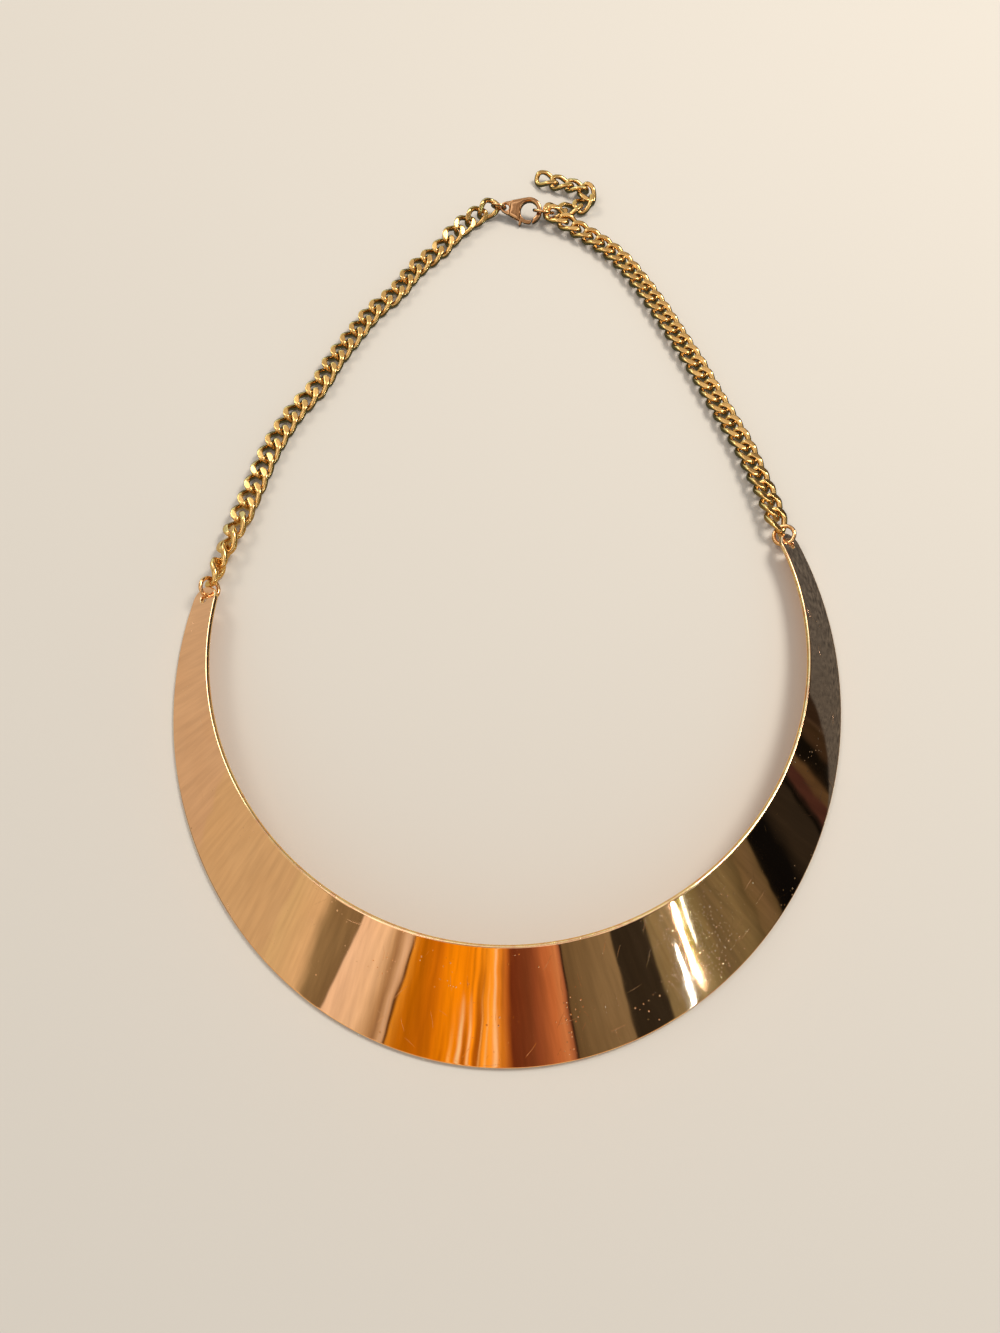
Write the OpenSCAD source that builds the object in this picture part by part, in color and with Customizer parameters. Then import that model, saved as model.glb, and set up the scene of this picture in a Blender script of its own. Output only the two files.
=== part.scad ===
// Collar necklace: a wide rigid metal collar, open at the back.
// Two curb chains join its tips through a lobster clasp, and a short
// extension chain hangs from the ring that the clasp hooks.
// The piece lies on a flat surface, as it does when laid down to be shown.
// Millimetres, Z up, surface at z = 0, the front of the collar towards -Y,
// the wearer's left towards +X, the bounding box centred on the Z axis.

/* [Collar plate] */
// Outer width of the collar, tip to tip side to side
collar_w = 150; // [144:1:156]
// Height of the band at the front
front_w = 25; // [20:0.5:27]
// Height of the band at its two tips
tip_w = 8; // [7.6:0.1:9]
// Thickness of the sheet
sheet = 1; // [0.8:0.05:1.2]
// Radius of the hole in each tip
tip_hole_r = 1.4; // [1.3:0.05:1.5]

/* [Rings] */
// Wire of the rings in the collar's tips
tip_ring_wire = 0.95; // [0.8:0.05:1]
// Wire of the ring that the clasp hooks
end_ring_wire = 0.9; // [0.8:0.05:0.95]
// Wire of the ring in the clasp's eye
eye_ring_wire = 0.8; // [0.7:0.05:0.85]

/* [Chains] */
// Wire of a curb link
link_wire = 1.35; // [1.1:0.05:1.35]
// Distance between links in the taut left chain
pitch_left = 4.95; // [4.8:0.05:5]
// Distance between links in the slack right chain
pitch_right = 4.45; // [4.4:0.05:4.7]

/* [Clasp] */
// Thickness of the clasp's body
clasp_t = 2.1; // [1.9:0.05:2.1]

/* [Hidden] */
$fn = 48;
center_y = -39.4;
design_w = 150;
rim_a = collar_w / 2;
rim_b = 88.3;
apex = [0, -15, 62.2];
width_end = 110;
width_power = 0.7;
edge_cut = 0.25;
angle_left = -100.5;
angle_right = 114;
hole_inset = 3.4;
round_length = 3.8;
tip_turn_from = 12;
tip_turn_to = 77;
tip_turn_step = 13;
main_stations = 92;
section_corners = 8;
cutter_margin = 2;

ring_r = 2.45;
ring_reach = 0.55;
lean_left = 0;
lean_right = 26;
end_ring_r = 2.8;
end_ring_lean = 16;
hold_right = 12;
eye_ring_r = 2;
joint_gap = 0.34;

link_a = 3.3;
link_b = 2.2;
link_twist = 50;
link_power = 0.75;
link_points = 12;
wire_points = 6;

clasp_heading = -11.5;
clasp_lean = 35;
eye_r = 1.7;
eye_hole_r = 0.9;
eye_t = 1.1;
claw = [6.95, 0];
claw_r = 3.85;
cavity_r = 2.5;
mouth_from = 4.7;
mouth_to = 8.5;
mouth_top = -1.2;
thin_eye_to = 1.3;
pivot = [3.3, -1.75];
pin_r = 0.45;
bore_r = 0.5;
slot_r = 1.5;
slot_behind = 0.4;
slot_past_mouth = 0.5;
slot_above = 1.3;
lever_t = 1.1;
lever_gap = 0.1;
lever_root_r = 1;
lever_behind = 0.2;
lever_above = 0.4;
lever_reach = 5;
lever_in_r = 2.65;
lever_out_r = 3.7;
nub_root = [4.5, -3];
nub_root_w = 1;
nub_tip = [4.6, -4.55];
nub_tip_w = 0.6;
floor_gap = 0.06;
hook_u = 8.4;
hook_v = 0.5;
eye_hook_u = -0.25;

// vectors
function unit(v) = v / norm(v);
function xyz(p) = [p[0], p[1], p[2]];
function rel(k) = k * collar_w / design_w;

// the collar's surface: rulings from an ellipse on the surface to one apex
function rim_point(f) = [rim_a * sin(f), -rim_b * cos(f), 0];
function rim_step(f) = norm([rim_a * cos(f), rim_b * sin(f)]) * PI / 180;
function width_share(f) = pow((1 + cos(180 * min(abs(f) / width_end, 1))) / 2, width_power);
function band_w(f) = tip_w + (front_w - tip_w) * width_share(f);
function along(f) = unit([rim_a * cos(f), rim_b * sin(f), 0]);
function rise(f) = unit(apex - rim_point(f));
function face(f) = unit(cross(along(f), rise(f)));
// lowest point of a section under its reference line
function drop(f) = sheet / 2 * face(f)[2] - edge_cut * rise(f)[2];
lift = max([for (f = [-angle_right:3:angle_right]) drop(f)]);
function band_point(f, p, q) = rim_point(f) + p * rise(f) + q * face(f) + [0, center_y, lift];

// a station: angle round the rim and share of the full band width kept there
function tip_station(end, side, turn) = [
    end - side * round_length * (1 - cos(turn)) / rim_step(end),
    sin(turn)
];
left_turns = [tip_turn_from:tip_turn_step:tip_turn_to];
right_turns = [tip_turn_to:-tip_turn_step:tip_turn_from];
left_tip = [for (turn = left_turns) tip_station(angle_left, -1, turn)];
right_tip = [for (turn = right_turns) tip_station(angle_right, 1, turn)];
body_from = angle_left + round_length / rim_step(angle_left);
body_to = angle_right - round_length / rim_step(angle_right);
body_row = [for (i = [0:main_stations]) [body_from + (body_to - body_from) * i / main_stations, 1]];
stations = concat(left_tip, body_row, right_tip);

// the eight corners of a section, counter-clockwise seen along the band
function section(f, share) =
    let (w = band_w(f), lo = w / 2 * (1 - share), hi = w - lo, t = sheet / 2, c = edge_cut)
    [
        band_point(f, lo + c, -t),
        band_point(f, hi - c, -t),
        band_point(f, hi, c - t),
        band_point(f, hi, t - c),
        band_point(f, hi - c, t),
        band_point(f, lo + c, t),
        band_point(f, lo, t - c),
        band_point(f, lo, c - t)
    ];

// tips: hole centre, direction away from the collar, ring frame
function hole_angle(end, side) = end - side * hole_inset / rim_step(end);
function hole_at(f) = band_point(f, band_w(f) / 2, 0);
function ring_side(f, lean) = cos(lean) * face(f) - sin(lean) * rise(f);

hole_left = hole_angle(angle_left, -1);
hole_right = hole_angle(angle_right, 1);
away_left = -along(hole_left);
away_right = along(hole_right);
ring_left_at = hole_at(hole_left) + (ring_r + ring_reach) * away_left;
ring_right_at = hole_at(hole_right) + (ring_r + ring_reach) * away_right;
far_left = ring_left_at + ring_r * away_left;
far_right = ring_right_at + ring_r * away_right;
first_shift = link_a - (link_wire + tip_ring_wire) / 2 - joint_gap;

// clasp frame: u from the eye to the nose, v to its raised far side, n its face
clasp_low = claw_r * sin(clasp_lean) + clasp_t / 2 * cos(clasp_lean) + floor_gap;
eye_at = [-4.6, 110.6, clasp_low];
clasp_u = [cos(clasp_heading), sin(clasp_heading), 0];
clasp_h = [-sin(clasp_heading), cos(clasp_heading), 0];
clasp_v = cos(clasp_lean) * clasp_h + [0, 0, sin(clasp_lean)];
clasp_n = cross(clasp_u, clasp_v);
function on_clasp(u, v) = eye_at + u * clasp_u + v * clasp_v;

eye_ring_at = on_clasp(eye_hook_u - eye_ring_r, 0);
eye_ring_far = on_clasp(eye_hook_u - 2 * eye_ring_r, 0);
end_ring_at = on_clasp(hook_u + end_ring_r, hook_v);
end_ring_side = cos(end_ring_lean) * clasp_n - sin(end_ring_lean) * clasp_v;
function on_end_ring(a) = end_ring_at + end_ring_r * (cos(a) * clasp_u + sin(a) * end_ring_side);

// chain routes: rows of x, y, height, roll of the link about the chain
route_left = [
    [rel(-68.9), -15.5, 2.9, -60],
    [rel(-67.9), -10.5, 2.85, -40],
    [rel(-66.9), -5.5, 2.5, -20],
    [rel(-66.0), -0.5, 1.95, 0],
    [rel(-64.5), 7.5, 1.7, 0],
    [rel(-62.0), 19.0, 1.7, 0],
    [rel(-57.8), 30.5, 1.7, 0],
    [rel(-52.5), 40.2, 1.7, 0],
    [rel(-49.3), 49.5, 1.7, 0],
    [rel(-45.2), 58.5, 1.7, 0],
    [rel(-40.5), 68.0, 1.7, 0],
    [rel(-34.7), 75.8, 1.7, 0],
    [rel(-29.8), 85.6, 1.7, 0],
    [rel(-23.4), 93.6, 1.9, 0],
    [rel(-20.0), 99.0, 2.55, 20],
    [rel(-16.2), 104.0, 2.85, 40]
];
route_right = [
    [rel(63.4), 5.0, 2.55, 16],
    [rel(61.1), 13.5, 2.2, 11],
    [rel(58.8), 22.0, 1.95, 6],
    [rel(56.0), 29.6, 1.8, 0],
    [rel(53.1), 37.0, 1.72, 0],
    [rel(48.4), 49.8, 1.7, 0],
    [rel(43.0), 62.7, 1.7, 0],
    [rel(37.7), 74.8, 1.7, 0],
    [rel(32.0), 86.0, 1.7, 0],
    [rel(27.5), 92.8, 1.75, 0],
    [rel(22.3), 98.3, 1.85, 0],
    [rel(18.6), 101.5, 1.95, 0],
    [rel(14.5), 104.5, 2.4, 0]
];
roll_left_first = -80;
roll_left_last = 54;
roll_right_first = 20;
roll_right_last = 0;

// the extension chain, a row per link: x, y, height, heading, slope, roll
tail_rows = [
    [9.9, 110.9, 1.94, 23, -9, 10],
    [14.5, 112.2, 1.73, 17, 3, -5],
    [18.5, 114.6, 1.96, 50, 5, -10],
    [19.5, 118.8, 2.08, 105, 7, 4],
    [16.5, 121.9, 2.05, 154, -2, 14],
    [11.9, 123.6, 1.87, 161, -2, 4],
    [7.4, 125.2, 1.84, 154, 0, 1]
];

function row(p, roll) = [p[0], p[1], p[2], roll];
function last(list) = list[len(list) - 1];

left_first = far_left + first_shift * away_left;
left_aim = unit(eye_ring_far - xyz(last(route_left)));
left_last = eye_ring_far - (link_a - (link_wire + eye_ring_wire) / 2 - joint_gap) * left_aim;
right_first = far_right + first_shift * away_right;
end_shift = link_a - (link_wire + end_ring_wire) / 2 - joint_gap;
right_aim = unit(on_end_ring(hold_right) - xyz(last(route_right)));
right_last = on_end_ring(hold_right) - end_shift * right_aim;

line_left = concat([row(left_first, roll_left_first)], route_left, [row(left_last, roll_left_last)]);
line_right = concat([row(right_first, roll_right_first)], route_right, [row(right_last, roll_right_last)]);

// smooth line through the rows and its running length
spline_steps = 8;
function spline(a, b, c, d, t) =
    0.5 * (2 * b + t * (c - a) + t * t * (2 * a - 5 * b + 4 * c - d) + t * t * t * (3 * b - a - 3 * c + d));
function smooth_line(rows) =
    let (n = len(rows))
    concat(
        [for (i = [0:n - 2]) for (k = [0:spline_steps - 1])
            spline(rows[max(i - 1, 0)], rows[i], rows[i + 1], rows[min(i + 2, n - 1)], k / spline_steps)],
        [rows[n - 1]]
    );
function next_sum(line, i, sums) = last(sums) + norm(xyz(line[i]) - xyz(line[i - 1]));
function running(line, i = 1, sums = [0]) =
    i >= len(line) ? sums : running(line, i + 1, concat(sums, [next_sum(line, i, sums)]));
function column(line, sums, k) = [for (i = [0:len(line) - 1]) [sums[i], line[i][k]]];

// one link's frame at a place on the line, as a 4 x 4 matrix
function turned(a, b, angle) = cos(angle) * a + sin(angle) * b;
function frame(x, up, roll, at) =
    let (
        z = unit(up - (up * x) * x),
        y = cross(z, x),
        yr = turned(y, z, roll),
        zr = turned(z, -y, roll)
    )
    [
        [x[0], yr[0], zr[0], at[0]],
        [x[1], yr[1], zr[1], at[1]],
        [x[2], yr[2], zr[2], at[2]],
        [0, 0, 0, 1]
    ];
function link_frames(rows, pitch) =
    let (
        line = smooth_line(rows),
        sums = running(line),
        tx = column(line, sums, 0),
        ty = column(line, sums, 1),
        tz = column(line, sums, 2),
        tr = column(line, sums, 3),
        total = last(sums),
        count = round(total / pitch),
        step = total / count,
        half = step / 2
    )
    [for (i = [0:count])
        let (
            s = i * step,
            here = [lookup(s, tx), lookup(s, ty), lookup(s, tz)],
            before = [lookup(s - half, tx), lookup(s - half, ty), lookup(s - half, tz)],
            after = [lookup(s + half, tx), lookup(s + half, ty), lookup(s + half, tz)]
        )
        frame(unit(after - before), [0, 0, 1], lookup(s, tr), here)];

function heading_dir(heading, slope) = [cos(heading) * cos(slope), sin(heading) * cos(slope), sin(slope)];
tail_frames = [for (r = tail_rows) frame(heading_dir(r[3], r[4]), [0, 0, 1], r[5], xyz(r))];

// the centre line of a curb link: a flattened oval, bowed by a twist along its length
function bent(v, power) = sign(v) * pow(abs(v), power);
function link_point(t) =
    let (
        x = link_a * bent(cos(t), link_power),
        y = link_b * bent(sin(t), link_power),
        turn = -link_twist * x / link_a
    )
    [x, y * cos(turn), y * sin(turn)];
function link_ring(i) =
    let (
        step = 360 / link_points,
        at = link_point(i * step),
        go = unit(link_point((i + 1) * step) - link_point((i - 1) * step)),
        out = unit(at - (at * go) * go),
        side = cross(go, out)
    )
    [for (k = [0:wire_points - 1]) at + link_wire / 2 * turned(out, side, 360 * k / wire_points)];

module link_shape() {
    rings = [for (i = [0:link_points - 1]) link_ring(i)];
    points = [for (r = rings) for (p = r) p];
    faces = [for (i = [0:link_points - 1]) for (k = [0:wire_points - 1])
        let (
            j = (i + 1) % link_points,
            m = (k + 1) % wire_points,
            a = i * wire_points + k,
            b = i * wire_points + m,
            c = j * wire_points + m,
            d = j * wire_points + k
        )
        each [[a, d, c], [a, c, b]]];
    polyhedron(points, faces, convexity = 4);
}

module links(frames) {
    for (m = frames) {
        multmatrix(m) link_shape();
    }
}

// a round wire ring, its plane spanned by x and y
module wire_ring(at, x, y, radius, wire) {
    z = cross(x, y);
    multmatrix([
        [x[0], y[0], z[0], at[0]],
        [x[1], y[1], z[1], at[1]],
        [x[2], y[2], z[2], at[2]],
        [0, 0, 0, 1]
    ])
        rotate_extrude() translate([radius, 0]) circle(r = wire / 2, $fn = 24);
}

module tip_hole(f) {
    x = rise(f);
    y = -along(f);
    z = face(f);
    at = hole_at(f);
    multmatrix([
        [x[0], y[0], z[0], at[0]],
        [x[1], y[1], z[1], at[1]],
        [x[2], y[2], z[2], at[2]],
        [0, 0, 0, 1]
    ])
        cylinder(r = tip_hole_r, h = sheet + 2 * cutter_margin, center = true, $fn = 32);
}

module collar_plate() {
    rings = [for (s = stations) section(s[0], s[1])];
    n = len(rings);
    points = [for (r = rings) for (p = r) p];
    m = section_corners;
    sides = [for (i = [0:n - 2]) for (k = [0:m - 1])
        let (a = m * i + k, b = m * i + (k + 1) % m)
        each [[a, a + m, b + m], [a, b + m, b]]];
    start_cap = [for (k = [0:m - 1]) k];
    end_cap = [for (k = [m - 1:-1:0]) m * (n - 1) + k];
    color("#c98f73")
    difference() {
        polyhedron(points, concat(sides, [start_cap, end_cap]), convexity = 6);
        tip_hole(hole_left);
        tip_hole(hole_right);
    }
}

module jump_ring_left() {
    color("#d39a7c")
    wire_ring(ring_left_at, away_left, ring_side(hole_left, lean_left), ring_r, tip_ring_wire);
}

module jump_ring_right() {
    color("#d39a7c")
    wire_ring(ring_right_at, away_right, ring_side(hole_right, lean_right), ring_r, tip_ring_wire);
}

module chain_left() {
    color("#e0b75a") links(link_frames(line_left, pitch_left));
}

module chain_right() {
    color("#e0b75a") links(link_frames(line_right, pitch_right));
}

module chain_tail() {
    color("#e0b75a") links(tail_frames);
}

module end_ring() {
    color("#d39a7c")
    wire_ring(end_ring_at, clasp_u, end_ring_side, end_ring_r, end_ring_wire);
}

module clasp_ring() {
    color("#d39a7c")
    wire_ring(eye_ring_at, clasp_u, clasp_n, eye_ring_r, eye_ring_wire);
}

module on_clasp_frame() {
    translate(eye_at) rotate([clasp_lean, 0, clasp_heading]) children();
}

// flat outline between two circles, along their outer tangents
module tangent_web(c, r1, r2, t) {
    a = asin((r2 - r1) / norm(c));
    e = [-sin(a), -cos(a)];
    f = [-sin(a), cos(a)];
    linear_extrude(t, center = true)
        polygon([r1 * e, c + r2 * e, c + r2 * f, r1 * f]);
}

module slab(u0, u1, v0, v1, t) {
    translate([u0, v0, -t / 2]) cube([u1 - u0, v1 - v0, t]);
}

// the claw before its cavity, mouth and slot are cut
module claw_blank() {
    tangent_web(claw, eye_r, claw_r, clasp_t);
    translate(claw) cylinder(r = claw_r, h = clasp_t, center = true);
    cylinder(r = eye_r, h = eye_t, center = true);
}

// what makes the eye thinner than the claw, on both faces
module eye_shoulders() {
    side = eye_r + cutter_margin;
    for (s = [-1, 1]) {
        translate([0, 0, s * (eye_t + cutter_margin) / 2])
            slab(-side, thin_eye_to, -side, side, cutter_margin);
    }
}

module clasp_body() {
    slot_t = lever_t + 2 * lever_gap;
    through = clasp_t + cutter_margin;
    below = -claw_r - cutter_margin;
    color("#cf9678")
    on_clasp_frame() {
        difference() {
            claw_blank();
            eye_shoulders();
            cylinder(r = eye_hole_r, h = through, center = true, $fn = 24);
            translate(claw) cylinder(r = cavity_r, h = through, center = true);
            slab(mouth_from, mouth_to, below, mouth_top, through);
            translate(pivot) cylinder(r = slot_r, h = slot_t, center = true, $fn = 32);
            slab(pivot[0] - slot_behind, mouth_from + slot_past_mouth, below, pivot[1] + slot_above, slot_t);
        }
        translate(pivot) cylinder(r = pin_r, h = clasp_t, center = true, $fn = 24);
    }
}

module clasp_lever() {
    below = -claw_r - cutter_margin;
    through = lever_t + cutter_margin;
    color("#d8a284")
    on_clasp_frame() difference() {
        union() {
            translate(pivot) cylinder(r = lever_root_r, h = lever_t, center = true, $fn = 32);
            intersection() {
                translate(claw) cylinder(r = lever_out_r, h = lever_t, center = true);
                translate(pivot) cylinder(r = lever_reach, h = lever_t, center = true);
                slab(pivot[0] - lever_behind, mouth_to, below, pivot[1] + lever_above, lever_t);
            }
            linear_extrude(lever_t, center = true)
                polygon([nub_root, nub_tip, nub_tip + [nub_tip_w, 0], nub_root + [nub_root_w, 0]]);
        }
        translate(claw) cylinder(r = lever_in_r, h = through, center = true);
        translate(pivot) cylinder(r = bore_r, h = through, center = true, $fn = 24);
    }
}

collar_plate();
jump_ring_left();
jump_ring_right();
chain_left();
chain_right();
chain_tail();
end_ring();
clasp_ring();
clasp_body();
clasp_lever();
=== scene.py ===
"""Collar necklace: a polished rose gold collar on two curb chains with a lobster clasp.

Sizes are millimetres in the part's own frame. They turn into metres when a mesh is finished.
"""

import logging
import math
from dataclasses import dataclass, field
from enum import Enum
from functools import cached_property
from typing import ClassVar

import bmesh
import bpy
import numpy as np
from bmesh.types import BMesh, BMVert
from bpy.types import ID, Material, Node, NodeSocket, Object, World
from mathutils import Matrix, Vector


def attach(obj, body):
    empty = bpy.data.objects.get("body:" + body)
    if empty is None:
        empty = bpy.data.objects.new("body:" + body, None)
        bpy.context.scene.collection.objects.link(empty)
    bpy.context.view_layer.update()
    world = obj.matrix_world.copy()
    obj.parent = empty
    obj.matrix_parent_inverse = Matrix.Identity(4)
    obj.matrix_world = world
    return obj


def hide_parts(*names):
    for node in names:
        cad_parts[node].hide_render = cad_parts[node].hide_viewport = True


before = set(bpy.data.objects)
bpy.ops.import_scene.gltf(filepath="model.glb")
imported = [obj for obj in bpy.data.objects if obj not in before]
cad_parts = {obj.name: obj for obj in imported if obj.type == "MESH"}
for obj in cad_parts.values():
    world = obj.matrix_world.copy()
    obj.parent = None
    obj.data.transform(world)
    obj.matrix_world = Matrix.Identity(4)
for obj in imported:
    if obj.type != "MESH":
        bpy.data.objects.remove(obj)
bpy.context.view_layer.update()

MM = 0.001
MERGE = 1e-3  # mm within which corners are one
METAL = "EFBFA0"  # tint of the collar, which the colours that it mirrors are meant for
BAND_UV = "band"
RIM = "rim"
Colour = tuple[float, float, float, float]
Stops = list[tuple[float, Colour]]
Place = tuple[float, float, float]
Source = Node | NodeSocket
log = logging.getLogger("necklace")


class Slot(Enum):
    """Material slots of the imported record."""

    PLATE = "rose_plate"
    WIRE = "rose_wire"
    CHAIN = "gold_chain"
    CLASP = "rose_clasp"


class Body(Enum):
    """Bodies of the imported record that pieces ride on."""

    NECKLACE = "necklace"
    LEVER = "lever"


def linear(code: str) -> Colour:
    """Turns an sRGB hex colour into linear light.

    Args:
        code: six hex digits, such as "EFBFA0".

    Returns:
        Red, green, blue and an alpha of one.
    """
    parts = [int(code[i : i + 2], 16) / 255 for i in (0, 2, 4)]
    light = [c / 12.92 if c <= 0.04045 else ((c + 0.055) / 1.055) ** 2.4 for c in parts]
    return (*light, 1.0)


def behind_metal(code: str, level: float = 1.0) -> Colour:
    """The light that the metal turns into an sRGB hex colour, or into one so many times brighter."""
    light = [level * seen / tint for seen, tint in zip(linear(code), linear(METAL))]
    return (*light[:3], 1.0)


def add_object(name: str, data: ID) -> Object:
    """Adds an object to the scene.

    Args:
        name: its name.
        data: its mesh, lamp or camera.

    Returns:
        The new object.
    """
    item = bpy.data.objects.new(name, data)
    bpy.context.scene.collection.objects.link(item)
    return item


def basis(x: Vector, y: Vector, at: Vector) -> Matrix:
    """A placing matrix whose columns are x, y and x cross y, with its origin at that point."""
    return Matrix.Translation(at) @ Matrix((x, y, x.cross(y))).transposed().to_4x4()


def node_copy(node: str) -> BMesh:
    """Copies a CAD node and merges its loose triangles.

    Args:
        node: its name.

    Returns:
        The copy in mm.
    """
    bm = bmesh.new()
    bm.from_mesh(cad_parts[node].data)
    bmesh.ops.scale(bm, vec=(1 / MM,) * 3, verts=bm.verts[:])
    bmesh.ops.remove_doubles(bm, verts=bm.verts[:], dist=MERGE)
    return bm


def node_points(node: str) -> np.ndarray:
    """Reads the corner points of a CAD node.

    Args:
        node: its name.

    Returns:
        Rows of x, y and z in mm.
    """
    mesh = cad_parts[node].data
    points = np.zeros(len(mesh.vertices) * 3)
    mesh.vertices.foreach_get("co", points)
    return points.reshape(-1, 3) / MM


def principal_frame(points: np.ndarray) -> tuple[Vector, list[Vector]]:
    """Middle of a set of points and its three main directions.

    Args:
        points: rows of x, y and z.

    Returns:
        The middle, and the directions from the longest to the thinnest, right-handed.
    """
    unique = np.unique(points.round(3), axis=0)
    middle = unique.mean(0)
    _, vectors = np.linalg.eigh(np.cov((unique - middle).T))
    x, y = Vector(vectors[:, 2]), Vector(vectors[:, 1])
    return Vector(middle), [x, y, x.cross(y)]


def wire_section(bm: BMesh, sides: int, wire: float, reach: float, filled: bool) -> list[BMVert]:
    """Adds a wire's round section, upright and ready to spin about Z.

    Args:
        bm: where it goes.
        sides: how many sides it has.
        wire: the wire's thickness.
        reach: its distance from the middle.
        filled: whether it has a face.

    Returns:
        Its corners.
    """
    made = bmesh.ops.create_circle(bm, cap_ends=filled, segments=sides, radius=wire / 2)["verts"]
    bmesh.ops.rotate(bm, verts=made, cent=(0, 0, 0), matrix=Matrix.Rotation(math.pi / 2, 3, "X"))
    bmesh.ops.translate(bm, verts=made, vec=(reach, 0, 0))
    return made


def set_ramp(node: Node, stops: Stops) -> Node:
    """Fills a colour ramp.

    Args:
        node: the ramp node.
        stops: positions from 0 to 1 with their colours, in rising order.

    Returns:
        The same node.
    """
    ramp = node.color_ramp
    ramp.elements[0].position, ramp.elements[0].color = stops[0]
    ramp.elements[1].position, ramp.elements[1].color = stops[-1]
    for position, colour in stops[1:-1]:
        ramp.elements.new(position).color = colour
    return node


class NodeLook:
    """A look that is made of shader nodes: a material, or the surround of the scene."""

    name: str
    store: ClassVar[str] = "materials"

    @cached_property
    def data(self) -> Material | World:
        """Makes the material or world, without nodes at first.

        Returns:
            The same one each time.
        """
        data = getattr(bpy.data, self.store).new(self.name)
        data.use_nodes = True
        data.node_tree.nodes.clear()
        return data

    def add(self, kind: str, inputs: dict | None = None) -> Node:
        """Adds a shader node, sets it and links its inputs.

        Args:
            kind: the node's type name without its "ShaderNode" start.
            inputs: node properties by name first, then what each input gets, by its name or number. That
                is a value, a socket, or a node, which stands for its first output in use.

        Returns:
            The new node.
        """
        node = self.data.node_tree.nodes.new("ShaderNode" + kind)
        for key, value in (inputs or {}).items():
            if isinstance(value, Node):
                value = next(socket for socket in value.outputs if socket.enabled)
            if isinstance(value, NodeSocket):
                self.data.node_tree.links.new(value, node.inputs[key])
            elif isinstance(key, str) and hasattr(node, key):
                setattr(node, key, value)
            else:
                node.inputs[key].default_value = value
        return node


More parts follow.
